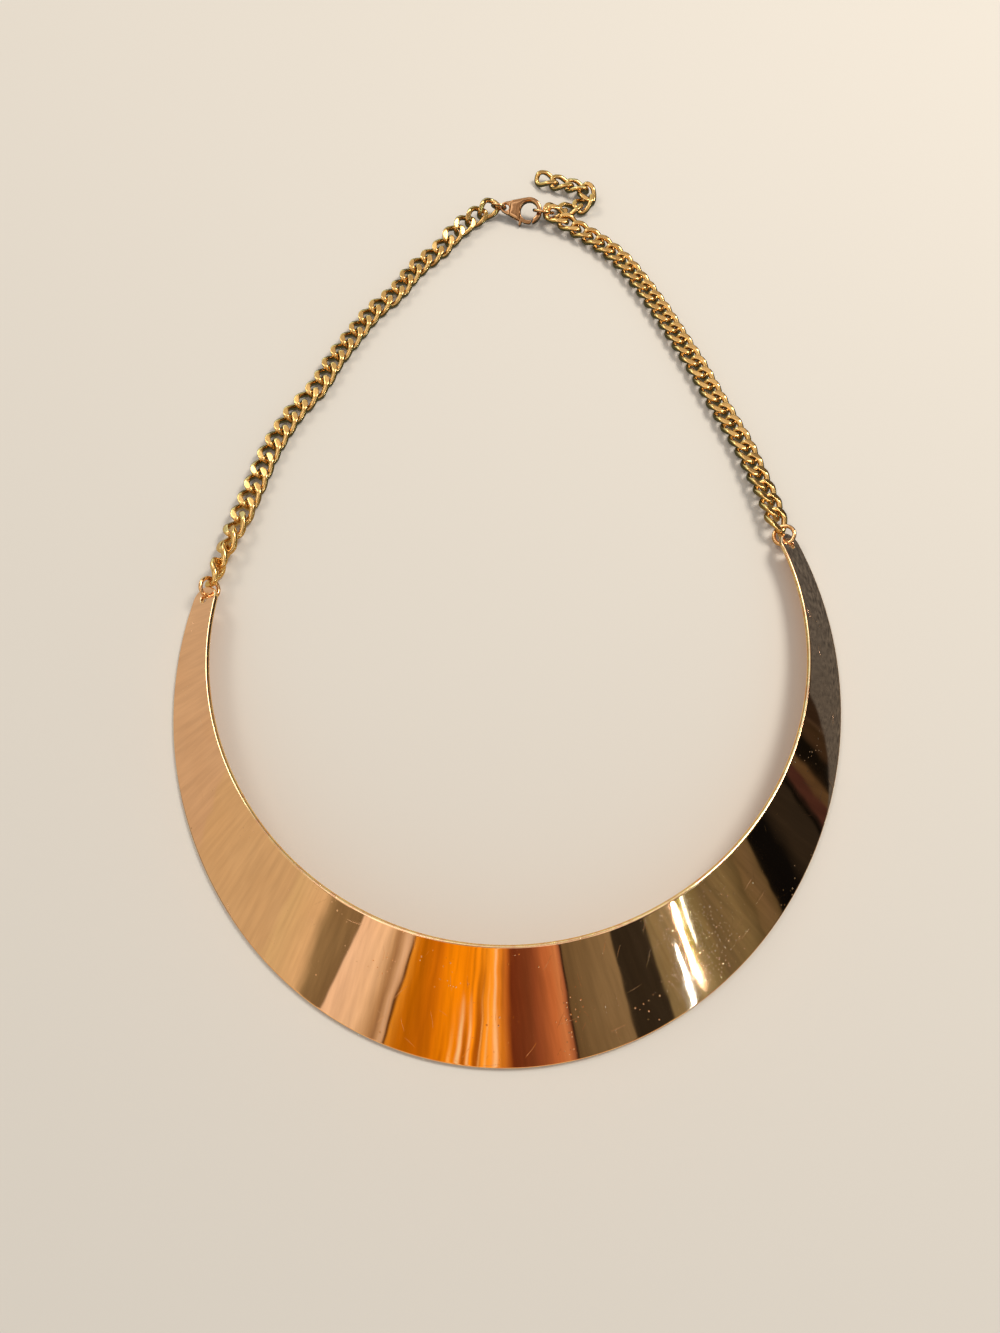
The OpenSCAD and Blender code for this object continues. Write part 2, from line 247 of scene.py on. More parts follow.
@dataclass(frozen=True)
class PolishedPlating(NodeLook):
    """Electroplated metal, polished bright, with hairline scratches and small pits.

    Attributes:
        name: the material's name.
        tint: colour of the metal as sRGB hex.
        shine: roughness of clean metal.
        worn: colour where the plating has thinned on an edge, or none for a piece without the RIM attribute.
        uv: name of the UV map in mm that scratches follow, or none for Object coordinates.
        rubbed_at: UV place and radius in mm of the patch that has worn most, or none.
        scratch: length in mm of one hairline scratch.
        scratch_width: width in mm of a hairline, drawn coarser than a real one so that it shows.
        scratch_turns: directions of the hairlines in degrees from the length of the band, each with how far
            in mm they curve.
        bends: how many slow curves a hairline has in a mm.
        left_out: level that a hairline passes to show, from 0 for all to 1 for none.
        pit: distance in mm between pits.
        pit_radius: radius in mm of the widest pit, drawn coarser than a real one so that it shows.
        pit_range: how many times wider the widest pit is than the narrowest.
        mark_depth: depth in mm of pits and hairlines.
        haze: size in mm of the patches of handling haze.
        hazy: how much rougher than clean metal a patch of haze is.
        ripple: height in mm of the slow waves that polishing leaves.
        stroke: how much paler or darker the slanting strokes of the polishing wheel are.
        cloudy: share of red, green and blue light that the deeper patches of tint keep.
    """

    name: str
    tint: str
    shine: float = 0.035
    worn: str | None = None
    uv: str | None = None
    rubbed_at: Place | None = None
    scratch: float = 8.0
    scratch_width: float = 0.13
    scratch_turns: tuple[tuple[float, float], ...] = ((8, 1), (-27, 3), (56, 2), (-74, 5))
    bends: float = 0.11
    left_out: float = 0.9
    pit: float = 0.9
    pit_radius: float = 0.24
    pit_range: float = 2.8
    mark_depth: float = 0.03
    haze: float = 14.0
    hazy: float = 0.035
    ripple: float = 0.03
    stroke: float = 0.07
    cloudy: Colour = (0.95, 0.92, 0.88, 1.0)

    def place(self, size: float, turn: float = 0, stretch: float = 1, bend: float = 0) -> Node:
        """Coordinates in units of one pattern cell.

        Args:
            size: length of a cell in mm.
            turn: turn of the pattern in degrees.
            stretch: how many times narrower than long a cell is.
            bend: how far in mm slow waves push the pattern about, which curves its lines.

        Returns:
            The node that feeds a texture.
        """
        if self.uv:
            source, unit = self.add("UVMap", {"uv_map": self.uv}), 1.0
        else:
            source, unit = self.add("TexCoord").outputs["Object"], MM
        if bend:
            wave = self.add("TexNoise", {"Scale": self.bends / unit, "Detail": 1.0, "Vector": source})
            push = {0: wave.outputs["Color"], 1: (bend * unit,) * 3, 2: source}
            source = self.add("VectorMath", {"operation": "MULTIPLY_ADD", **push})
        turned = {"vector_type": "TEXTURE", "Rotation": (0, 0, math.radians(turn)), "Vector": source}
        scale = 1 / unit / size
        scales = (scale, scale * stretch, scale)
        return self.add("Mapping", {"Scale": scales, "Vector": self.add("Mapping", turned)})

    def clouds(self, size: float, low: float, high: float, turn: float = 0, stretch: float = 1) -> Node:
        """A cloudy pattern.

        Args:
            size: length of a cloud in mm.
            low: noise level that gives 0.
            high: noise level that gives 1.
            turn: direction of the clouds in degrees from the length of the band.
            stretch: how many times narrower than long a cloud is.

        Returns:
            The node that gives a value from 0 to 1.
        """
        noise = self.add("TexNoise", {"Scale": 1.0, "Detail": 3.0, "Vector": self.place(size, turn, stretch)})
        return self.add("MapRange", {"From Min": low, "From Max": high, "Value": noise})

    def cells(self, place: Node) -> Node:
        """A pattern of scattered cells at those coordinates, flat where it follows a UV map."""
        flat = "2D" if self.uv else "3D"
        return self.add("TexVoronoi", {"voronoi_dimensions": flat, "Scale": 1.0, "Vector": place})

    def build(self) -> Material:
        """Makes the metal, whose roughness, tint and bump carry the traces of wear.

        Returns:
            The material.
        """
        marks = self.marks()
        worn = {"Base Color": self.colour(), "Roughness": self.roughness(marks)}

        # Slow waves that the polishing wheel leaves in the sheet, and marks that catch the light.
        wave = self.add("TexNoise", {"Scale": 1.0, "Detail": 1.0, "Vector": self.place(self.haze * 0.7, 10)})
        waves = self.add("Bump", {"Distance": self.ripple * MM, "Height": wave})
        sunken = {"invert": True, "Distance": self.mark_depth * MM, "Height": marks}
        worn["Normal"] = self.add("Bump", {**sunken, "Normal": waves})
        self.add("OutputMaterial", {"Surface": self.add("BsdfPrincipled", {"Metallic": 1.0, **worn})})
        return self.data

    def colour(self) -> Node:
        """Tint of the plating: cloudy, with slanting polishing strokes, warmer where an edge has worn.

        Returns:
            The node that gives the colour.
        """
        tint = linear(self.tint)
        deep = tuple(light * share for light, share in zip(tint, self.cloudy))
        tone = self.add("ValToRGB", {"Fac": self.clouds(self.haze, 0.3, 0.7)})
        set_ramp(tone, [(0, deep), (1, tint)])
        slanting = self.clouds(self.haze, 0.34, 0.66, -84, 11)
        swing = {"To Min": 1 - self.stroke, "To Max": 1 + self.stroke, "Value": slanting}
        seen = self.add("VectorMath", {"operation": "MULTIPLY", 0: tone, 1: self.add("MapRange", swing)})
        if not self.worn:
            return seen
        edge = self.add("Attribute", {"attribute_name": RIM}).outputs["Fac"]
        patchy = self.add("Math", {"operation": "MULTIPLY", 0: edge, 1: self.clouds(2.5, 0.35, 0.6)})
        return self.add("Mix", {"data_type": "RGBA", 0: patchy, 6: seen, 7: linear(self.worn)})

    def roughness(self, marks: Node) -> Node:
        """Roughness: clean metal with patches of handling haze, rougher in a mark.

        Args:
            marks: where the pits and hairlines are.

        Returns:
            The node that gives the value.
        """
        patches = self.clouds(self.haze * 0.6, 0.45, 0.75, 35)
        levels = {"To Min": self.shine, "To Max": self.shine + self.hazy, "Value": patches}
        haze = self.add("MapRange", levels)
        return self.add("Math", {"operation": "MULTIPLY_ADD", 0: marks, 1: 0.3, 2: haze})

    def marks(self) -> Node:
        """Pits and hairlines together.

        Returns:
            The node that gives one in the middle of a mark.
        """
        marked = self.pits()
        for turn, bend in self.scratch_turns:
            marked = self.add("Math", {"operation": "MAXIMUM", 0: marked, 1: self.hairlines(turn, bend)})
        return marked

    def hairlines(self, turn: float, bend: float) -> Node:
        """Thin scratches in one direction, gathered where the piece was rubbed.

        Args:
            turn: direction of the scratches in degrees from the length of the band.
            bend: how far in mm they curve.

        Returns:
            The node that gives 0.7 on a scratch, which is shallower than a pit.
        """
        cells = self.cells(self.place(self.scratch, turn, self.scratch / self.scratch_width, bend))
        fade = {"From Min": 0.1, "From Max": 0.25, "To Min": 1.0, "To Max": 0.0}
        line = self.add("MapRange", {**fade, "Value": cells.outputs["Distance"]})
        shown = {"From Min": self.left_out, "From Max": self.left_out + 0.04}
        few = self.add("MapRange", {**shown, "Value": cells.outputs["Color"]})
        rubbed = self.clouds(self.haze * 1.4, 0.48, 0.62, turn)
        gathered = self.add("Math", {"operation": "MULTIPLY", 0: few, 1: rubbed})
        seen = self.add("Math", {"operation": "MULTIPLY", 0: line, 1: gathered})
        return self.add("Math", {"operation": "MULTIPLY", 0: seen, 1: 0.7})

    def pits(self) -> Node:
        """Scattered pinholes and specks in the plating.

        Returns:
            The node that gives one in a pit.
        """
        cells = self.cells(self.place(self.pit))
        chance = self.add("SeparateColor", {0: cells.outputs["Color"]}).outputs["Blue"]
        small = self.add("MapRange", {"To Min": 1.0, "To Max": self.pit_range, "Value": chance})
        far = self.add("Math", {"operation": "MULTIPLY", 0: cells.outputs["Distance"], 1: small})
        wide = self.pit_radius / self.pit
        fade = {"From Min": wide * 0.4, "From Max": wide, "To Min": 1.0, "To Max": 0.0, "Value": far}
        dot = self.add("MapRange", fade)
        gathered = self.clouds(self.haze * 0.8, 0.46, 1.0)
        if self.rubbed_at:
            *middle, radius = self.rubbed_at
            source = self.add("UVMap", {"uv_map": self.uv})
            away = self.add("VectorMath", {"operation": "DISTANCE", 0: source, 1: (*middle, 0)})
            near = {"From Min": radius, "From Max": radius * 0.3, "To Max": 0.62, "Value": away}
            gathered = self.add("Math", {"operation": "ADD", 0: gathered, 1: self.add("MapRange", near)})

        # A cell shows its pit where its own chance lies under how gathered the pits are there.
        spare = self.add("Math", {"operation": "SUBTRACT", 0: gathered, 1: cells.outputs["Color"]})
        few = self.add("MapRange", {"From Max": 0.15, "Value": spare})
        return self.add("Math", {"operation": "MULTIPLY", 0: dot, 1: few})


@dataclass
class Piece:
    """A visible piece that stands for one CAD node.

    Attributes:
        name: name of the piece.
        node: the CAD node that it replaces.
        body: the body that it moves with.
        slot: the record's slot that its finish belongs to.
    """

    name: str
    node: str
    body: Body = field(default=Body.NECKLACE, kw_only=True)
    slot: ClassVar[Slot]

    def model(self) -> BMesh:
        """Makes the shape in mm, which each kind of piece does in its own way."""
        raise NotImplementedError

    def build(self, material: Material) -> Object:
        """Makes the piece, smooth and in metres, dresses it and lets it ride on its body.

        Args:
            material: its finish.

        Returns:
            The new object, at the origin.
        """
        bm = self.model()
        bmesh.ops.recalc_face_normals(bm, faces=bm.faces[:])
        bmesh.ops.scale(bm, vec=(MM,) * 3, verts=bm.verts[:])
        for face in bm.faces:
            face.smooth = True
        mesh = bpy.data.meshes.new(self.name)
        bm.to_mesh(mesh)
        bm.free()
        mesh.materials.append(material)
        piece = add_object(self.name, mesh)
        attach(piece, self.body.value)
        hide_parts(self.node)
        log.info("%s: %d faces", self.name, len(mesh.polygons))
        return piece


@dataclass
class CollarPlate(Piece):
    """The collar: thin sheet whose outer edge is an ellipse and whose slope runs to one apex."""

    name: str = "polished_collar"
    node: str = "collar_plate"
    slot = Slot.PLATE
    width: float = 150.0
    front_height: float = 25.0
    tip_height: float = 8.0
    thickness: float = 1.0
    rim_depth: float = 88.3
    centre_y: float = -39.4
    apex: Place = (0.0, -15.0, 62.2)
    fade_angle: float = 110.0
    fade_power: float = 0.7
    edge_cut: float = 0.25
    left_end: float = -100.5
    right_end: float = 114.0
    hole_radius: float = 1.4
    hole_inset: float = 3.4
    tip_rounding: float = 3.8
    edge_round: float = 0.3
    columns: int = 24
    edge_column: float = 0.45
    tip_steps: int = 28
    hole_ring: int = 4
    hole_reach: int = 9
    row_step: float = 0.9
    fine_rows: int = 12
    easing: float = 12.0

    def rim(self, angle: float) -> Vector:
        """Point of the outer edge at an angle round the collar, 0 at the front."""
        a = math.radians(angle)
        return Vector((self.width / 2 * math.sin(a), -self.rim_depth * math.cos(a), 0))

    def rim_step(self, angle: float) -> float:
        """Length of edge in mm that one degree covers there."""
        a = math.radians(angle)
        return math.radians(math.hypot(self.width / 2 * math.cos(a), self.rim_depth * math.sin(a)))

    def height(self, angle: float) -> float:
        """Height of the band along its slope there."""
        fall = math.cos(math.pi * min(abs(angle) / self.fade_angle, 1))
        return self.tip_height + (self.front_height - self.tip_height) * ((1 + fall) / 2) ** self.fade_power

    def along(self, angle: float) -> Vector:
        """Direction of the band there."""
        a = math.radians(angle)
        return Vector((self.width / 2 * math.cos(a), self.rim_depth * math.sin(a), 0)).normalized()

    def rise(self, angle: float) -> Vector:
        """Direction up the slope there."""
        return (Vector(self.apex) - self.rim(angle)).normalized()

    def face(self, angle: float) -> Vector:
        """Outward direction of the polished face there."""
        return self.along(angle).cross(self.rise(angle)).normalized()

    @cached_property
    def rest(self) -> float:
        """How far the middle of the sheet's edge lies above the surface that the collar rests on.

        Returns:
            The height in mm that brings the lowest corner of the edge down to that surface.
        """
        reach = round(self.right_end)
        turns = range(-reach, reach + 1, 3)
        return max(self.thickness / 2 * self.face(a).z - self.edge_cut * self.rise(a).z for a in turns)

    def point(self, angle: float, up: float, out: float) -> Vector:
        """Point of the band, so many mm up the slope and out of the middle of the sheet."""
        shift = Vector((0, self.centre_y, self.rest))
        return self.rim(angle) + up * self.rise(angle) + out * self.face(angle) + shift

    def stations(self) -> list[float]:
        """Angles of the rows of the sheet, close together beside the holes.

        Returns:
            Angles from the row where the left tip's rounding starts to the row of the right one's.
        """
        start = self.left_end + self.tip_rounding / self.rim_step(self.left_end)
        stop = self.right_end - self.tip_rounding / self.rim_step(self.right_end)
        left_fine, right_fine = (self.height(end) / self.columns for end in (self.left_end, self.right_end))
        row, rows = start, [start]
        while row < stop:
            since, until = (row - start) * self.rim_step(row), (stop - row) * self.rim_step(row)
            fine = left_fine if since < until else right_fine
            far = min(max(min(since, until) - self.fine_rows * fine, 0) / self.easing, 1)
            row += (fine + (self.row_step - fine) * far) / self.rim_step(row)
            rows.append(row)
        stretch = (stop - start) / (rows[-1] - start)
        return [start + (row - start) * stretch for row in rows]

    def across(self, column: int, height: float) -> float:
        """Places a column of the sheet, with a close one beside each edge to keep the face true.

        Args:
            column: its number, from 0 at the outer edge.
            height: height of the band there.

        Returns:
            Its distance up the slope in mm.
        """
        edge = min(height / self.columns, self.edge_column)
        if column in (0, self.columns):
            return height * column / self.columns
        return edge + (height - 2 * edge) * (column - 1) / (self.columns - 2)

    def close_tip(self, bm: BMesh, side: int, start: float, end: float) -> None:
        """Closes a tip: half of the end row is spun round the middle onto the other half.

        Args:
            bm: the flat sheet, its x in degrees and its y in shares of the band's height from its middle.
            side: -1 at the left tip, 1 at the right.
            start: angle where the tip's rounding starts.
            end: the tip's angle.
        """
        step, height = self.rim_step(end), self.height(end)
        row = sorted((v for v in bm.verts if abs(v.co.x - start) < MERGE), key=lambda v: v.co.y)
        bmesh.ops.scale(bm, vec=(step, height, 1), verts=bm.verts[:])
        half = row[: self.columns // 2 + 1]
        middle = half[-1].co.copy()
        edges = [e for e in bm.edges if e.verts[0] in half and e.verts[1] in half]
        turn = {"axis": (0, 0, side), "angle": math.pi, "steps": self.tip_steps}
        bmesh.ops.spin(bm, geom=half + edges, cent=middle, use_merge=False, **turn)
        bmesh.ops.remove_doubles(bm, verts=bm.verts[:], dist=5 * MERGE)
        squeeze = self.tip_rounding / (height / 2)
        for vert in bm.verts:
            past = side * (vert.co.x - middle.x)
            if past > 0:
                vert.co.x = middle.x + side * past * squeeze
        bmesh.ops.scale(bm, vec=(1 / step, 1 / height, 1), verts=bm.verts[:])

    def open_hole(self, bm: BMesh, side: int, start: float, end: float) -> None:
        """Opens a tip's hole and draws the mesh into rings round it.

        Args:
            bm: the flat sheet with its tips closed.
            side: -1 at the left tip, 1 at the right.
            start: angle where the tip's rounding starts.
            end: the tip's angle.
        """
        step, height = self.rim_step(end), self.height(end)
        cell, squeeze = height / self.columns, self.tip_rounding / (height / 2)
        shift = self.tip_rounding - self.hole_inset
        inside = []
        for vert in bm.verts:
            flat_x, y = side * (vert.co.x - start) * step, vert.co.y * height
            x, ring = flat_x, max(abs(flat_x), abs(y)) / cell
            if flat_x > 0:
                x = flat_x / squeeze
                ring = math.hypot(x, y) / cell
            if ring < self.hole_ring - 0.5:
                inside.append(vert)
            if not self.hole_ring - 0.5 <= ring <= self.hole_reach:
                continue
            turn = math.atan2(y, x)
            share = min(max((ring - self.hole_ring) / (self.hole_reach - self.hole_ring), 0), 1)
            radius = self.hole_radius * ring / self.hole_ring
            round_x, round_y = shift + radius * math.cos(turn), radius * math.sin(turn)
            new_x, new_y = round_x + (flat_x - round_x) * share, round_y + (y - round_y) * share
            vert.co = (start + side * new_x / step, new_y / height, 0)
        bmesh.ops.delete(bm, geom=inside, context="VERTS")

    def model(self) -> BMesh:
        """Makes the sheet flat, closes its tips, opens the holes, bends it and rounds its edges.

        Returns:
            The collar, with its UV map in mm along the band and one on its edges in the RIM attribute.
        """
        rows = self.stations()
        last = len(rows) - 1
        bm = bmesh.new()
        bmesh.ops.create_grid(bm, x_segments=last, y_segments=self.columns, size=1)
        for vert in bm.verts:
            angle = rows[round((vert.co.x + 1) / 2 * last)]
            column = round((vert.co.y + 1) / 2 * self.columns)
            vert.co = (angle, self.across(column, self.height(angle)) / self.height(angle) - 0.5, 0)
        tips = ((-1, rows[0], self.left_end), (1, rows[-1], self.right_end))
        for tip in tips:
            self.close_tip(bm, *tip)
        for tip in tips:
            self.open_hole(bm, *tip)
        band = bm.loops.layers.uv.new(BAND_UV)
        rim = bm.verts.layers.float.new(RIM)
        for face in bm.faces:
            for loop in face.loops:
                angle, y, _ = loop.vert.co
                loop[band].uv = (angle * self.rim_step(0), y * self.height(angle))
        for vert in bm.verts:
            vert[rim] = float(vert.is_boundary)
            angle, y, _ = vert.co
            vert.co = self.point(angle, self.height(angle) * (0.5 + y), self.thickness / 2)
        bmesh.ops.recalc_face_normals(bm, faces=bm.faces[:])
        bmesh.ops.solidify(bm, geom=bm.faces[:], thickness=self.thickness)
        bmesh.ops.recalc_face_normals(bm, faces=bm.faces[:])
        corners = [e for e in bm.edges if len(e.link_faces) == 2 and e.calc_face_angle() > 1]
        bmesh.ops.bevel(
            bm, geom=corners, offset=self.edge_round, affect="EDGES", segments=4, profile=0.5, material=-1
        )
        return bm


@dataclass
class WireRing(Piece):
    """A jump ring: round wire bent round, its two ends meeting in a hairline joint."""

    slot = Slot.WIRE
    radius: float
    wire: float
    joint_turn: float
    joint_gap: float = 0.07
    joint_round: float = 0.06
    steps: int = 72
    sides: int = 20

    def model(self) -> BMesh:
        """Makes the ring where its CAD node is.

        Returns:
            The ring, its section spun almost full round and the cut ends' edges rounded.
        """
        at, axes = principal_frame(node_points(self.node))
        bm = bmesh.new()
        wire_section(bm, self.sides, self.wire, self.radius, True)
        parts = bm.faces[:] + bm.edges[:] + bm.verts[:]
        turn = {"axis": (0, 0, 1), "angle": 2 * math.pi - self.joint_gap / self.radius, "steps": self.steps}
        bmesh.ops.spin(bm, geom=parts, cent=(0, 0, 0), use_merge=False, **turn)
        joint = Matrix.Rotation(math.radians(self.joint_turn), 4, "Z")
        bmesh.ops.transform(bm, matrix=basis(axes[0], axes[1], at) @ joint, verts=bm.verts[:])
        bmesh.ops.remove_doubles(bm, verts=bm.verts[:], dist=1e-5)
        rims = [e for e in bm.edges if len(e.link_faces) == 2 and e.calc_face_angle() > 1]
        soft = {"offset": self.joint_round, "clamp_overlap": True}
        bmesh.ops.bevel(bm, geom=rims, affect="EDGES", segments=2, profile=0.5, material=-1, **soft)
        return bm


@dataclass
class CurbChain(Piece):
    """A curb chain: oval links, each twisted so that the chain lies flat, their crests ground flat."""

    slot = Slot.CHAIN
    half_length: float = 3.3
    half_width: float = 2.2
    twist: float = 50.0
    power: float = 0.75
    wire: float = 1.46
    flat_top: float = 1.25
    flat_under: float = 1.62
    sway: float = 2.5
    table: float = 0.02
    seed: int = 5
    steps: int = 48
    sides: int = 20

    def link_frames(self) -> list[Matrix]:
        """Where each link lies, read from the CAD node.

        Returns:
            A placing matrix for each link, its third direction upwards.
        """
        bm = node_copy(self.node)
        seen: set[BMVert] = set()
        placed = []
        for first in bm.verts:
            if first in seen:
                continue
            link, edge = {first}, [first]
            while edge:
                found = {vert for e in edge.pop().link_edges for vert in e.verts} - link
                link |= found
                edge += found
            seen |= link
            at, axes = principal_frame(np.array([v.co[:] for v in link]))
            placed.append(basis(axes[0], math.copysign(1, axes[2].z) * axes[1], at))
        bm.free()
        return placed

    def centre_line(self, t: float) -> Vector:
        """Point of the wire's centre line.

        Args:
            t: angle round the link in radians.

        Returns:
            The point in the link's own frame.
        """
        x = self.half_length * math.copysign(abs(math.cos(t)) ** self.power, math.cos(t))
        y = self.half_width * math.copysign(abs(math.sin(t)) ** self.power, math.sin(t))
        turn = -math.radians(self.twist) * x / self.half_length
        return Vector((x, y * math.cos(turn), y * math.sin(turn)))

    def add_link(self, bm: BMesh, place: Matrix) -> None:
        """Adds one link: a wire ring, pulled to an oval, twisted, and ground flat above and below.

        Args:
            bm: where it goes.
            place: its placing matrix.
        """
        before = set(bm.verts)
        section = wire_section(bm, self.sides, self.wire, self.half_length, False)
        own = set(section)
        parts = section + [e for e in bm.edges if set(e.verts) <= own]
        turn = {"axis": (0, 0, 1), "angle": 2 * math.pi, "steps": self.steps}
        bmesh.ops.spin(bm, geom=parts, cent=(0, 0, 0), use_merge=True, **turn)
        step = math.radians(3)
        for vert in set(bm.verts) - before:
            t = math.atan2(vert.co.y, vert.co.x)
            offset = Vector((math.hypot(vert.co.x, vert.co.y) - self.half_length, vert.co.z))
            at = self.centre_line(t)
            go = (self.centre_line(t + step) - self.centre_line(t - step)).normalized()
            out = (at - at.dot(go) * go).normalized()
            local = at + offset.x * out + offset.y * out.cross(go)
            local.z = min(max(local.z, -self.flat_under), self.flat_top)
            vert.co = place @ local
            vert.co.z = max(vert.co.z, self.table)

    def model(self) -> BMesh:
        """Makes the chain.

        Returns:
            Its links, each swayed a little by chance.
        """
        chance = np.random.default_rng(self.seed)
        bm = bmesh.new()
        for place in self.link_frames():
            roll, pitch = (math.radians(self.sway * v) for v in chance.uniform(-1, 1, 2))
            self.add_link(bm, place @ Matrix.Rotation(roll, 4, "X") @ Matrix.Rotation(pitch, 4, "Y"))
        return bm


@dataclass(frozen=True)
class ClaspShape:
    """The clasp's own frame and outline: u from the eye to the nose, v to its raised side, n its face."""

    eye: Place = (-4.6, 110.6, 3.1284)
    heading: float = -11.5
    lean: float = 35.0
    eye_radius: float = 1.7
    eye_hole: float = 0.9
    nose: float = 6.95
    nose_radius: float = 3.85
    cavity: float = 2.5
    mouth: tuple[float, float] = (4.7, 8.5)
    mouth_top: float = -1.2

    def matrix(self) -> Matrix:
        """Turns clasp coordinates into the part's.

        Returns:
            The placing matrix.
        """
        heading, lean = math.radians(self.heading), math.radians(self.lean)
        turn = Matrix.Rotation(heading, 4, "Z") @ Matrix.Rotation(lean, 4, "X")
        return Matrix.Translation(self.eye) @ turn

    def depth(self, u: float, v: float) -> float:
        """How far a point lies inside the claw's outline.

        Args:
            u: mm from the eye towards the nose.
            v: mm towards the raised side.

        Returns:
            Distance in mm to the nearest edge; below zero outside.
        """
        fall = (self.eye_radius - self.nose_radius) / self.nose
        side = math.sqrt(1 - fall * fall)
        along = side * u - fall * abs(v)
        if along < 0:
            outer = self.eye_radius - math.hypot(u, v)
        elif along > side * self.nose:
            outer = self.nose_radius - math.hypot(u - self.nose, v)
        else:
            outer = self.eye_radius - side * abs(v) - fall * u
        hollow = math.hypot(u - self.nose, v) - self.cavity
        across = max(self.mouth[0] - u, u - self.mouth[1])
        above = v - self.mouth_top
        gap = max(across, above) if across < 0 or above < 0 else math.hypot(across, above)
        return min(outer, hollow, gap, math.hypot(u, v) - self.eye_hole)


@dataclass
class CastPiece(Piece):
    """A part of the clasp: cast, then tumbled until its edges are round and its faces crowned.

    Attributes:
        outline: the clasp's frame and outline.
        grain: size in mm of the even mesh that the tumbling smooths.
        passes: how often it is smoothed.
        core: half thickness in mm that the crowning leaves, or none for flat faces.
        reach: distance in mm from the edge over which a face rises.
    """

    slot = Slot.CLASP
    outline: ClaspShape
    grain: float = 0.08
    passes: int = 30
    core: float | None = None
    reach: float = 1.3

    def crown(self, vert: BMVert) -> None:
        """Lowers the face towards the outline, so that it swells in the middle.

        Args:
            vert: the corner to move.
        """
        u, v, n = vert.co
        if self.core is None or abs(n) <= self.core:
            return
        share = min(max(self.outline.depth(u, v), 0) / self.reach, 1)
        swell = math.sqrt(1 - (1 - share) ** 2)
        vert.co.z = math.copysign(self.core + (abs(n) - self.core) * swell, n)

    def even_copy(self, bm: BMesh) -> BMesh:
        """Turns a shape into one of small even faces.

        Args:
            bm: the shape; it is freed here.

        Returns:
            The same shape, remeshed.
        """
        mesh = bpy.data.meshes.new(self.name + "_raw")
        bm.to_mesh(mesh)
        bm.free()
        raw = add_object(self.name + "_raw", mesh)
        remesh = raw.modifiers.new("even", "REMESH")
        remesh.mode = "VOXEL"
        remesh.voxel_size = self.grain
        bpy.context.view_layer.update()
        even = bpy.data.meshes.new_from_object(raw.evaluated_get(bpy.context.evaluated_depsgraph_get()))
        bpy.data.objects.remove(raw)
        bm = bmesh.new()
        bm.from_mesh(even)
        for used in (even, mesh):
            bpy.data.meshes.remove(used)
        return bm

    def model(self) -> BMesh:
        """Makes the piece from its CAD solid.

        Returns:
            The piece, its faces crowned and its edges rounded.
        """
        place = self.outline.matrix()
        bm = node_copy(self.node)
        bmesh.ops.transform(bm, matrix=place.inverted(), verts=bm.verts[:])
        bm = self.even_copy(bm)
        axes = {f"use_axis_{axis}": True for axis in "xyz"}
        for done in range(self.passes):
            if done == self.passes // 3:
                for vert in bm.verts:
                    self.crown(vert)
            bmesh.ops.smooth_vert(bm, verts=bm.verts[:], factor=0.5, **axes)
        bmesh.ops.transform(bm, matrix=place, verts=bm.verts[:])
        return bm


@dataclass(frozen=True)
class Card:
    """One upright card of the surround.

    Attributes:
        start: compass angle in degrees where it starts; -90 is the front and 0 the right.
        near: colour at its start, as the metal shows it, as sRGB hex.
        far: colour at its end.
        soft: degrees over which it fades into the next card.
    """

    start: float
    near: str
    far: str
    soft: float


@dataclass(frozen=True)
class Strip:
    """A narrow lamp or slat that stands upright in front of the cards.

    Attributes:
        middle: compass angle in degrees.
        half: half of its width in degrees.
        foot: height at which it starts, as the sine of its angle above the table.
        head: height at which it ends.
        colour: its colour as the metal shows it, as sRGB hex.
        level: how many times brighter than its colour it is.
        soft: degrees over which its sides fade.
        fade: height over which its ends fade.
    """

    middle: float
    half: float
    foot: float
    head: float
    colour: str
    level: float = 1.0
    soft: float = 0.12
    fade: float = 0.02


@dataclass(frozen=True)
class Lean:
    """How the cards of one side lean, all angles in compass degrees.

    Attributes:
        start: angle where they begin to lean.
        full: angle from which they lean fully.
        turn: degrees that the foot of a fully leaning card lies away from its head.
        low: angle where the height about which they lean is the first one.
        high: angle where it is the last one.
        first: the first height, as the sine of its angle above the table.
        last: the last height.
    """

    start: float
    full: float
    turn: float
    low: float
    high: float
    first: float
    last: float


@dataclass(frozen=True)
class Lamp:
    """A soft area lamp.

    Attributes:
        name: its name.
        at: its middle, in metres.
        sides: its length and width in metres.
        watts: its power.
        colour: its colour as sRGB hex.
        aim: the point that it faces.
        along: direction of its length, or none where it is level.
    """

    name: str
    at: Place
    sides: tuple[float, float]
    watts: float
    colour: str
    aim: Place = (0.0, 0.0, 0.0)
    along: Place | None = None

    def build(self) -> None:
        """Hangs the lamp."""
        data = bpy.data.lights.new(self.name, "AREA")
        data.shape = "RECTANGLE"
        data.size, data.size_y = self.sides
        data.energy = self.watts
        data.color = linear(self.colour)[:3]
        at = Vector(self.at)
        back = at - Vector(self.aim)
        along = (Vector(self.along) if self.along else Vector((0, 0, 1)).cross(back)).normalized()
        add_object(self.name, data).matrix_world = basis(along, back.cross(along).normalized(), at)


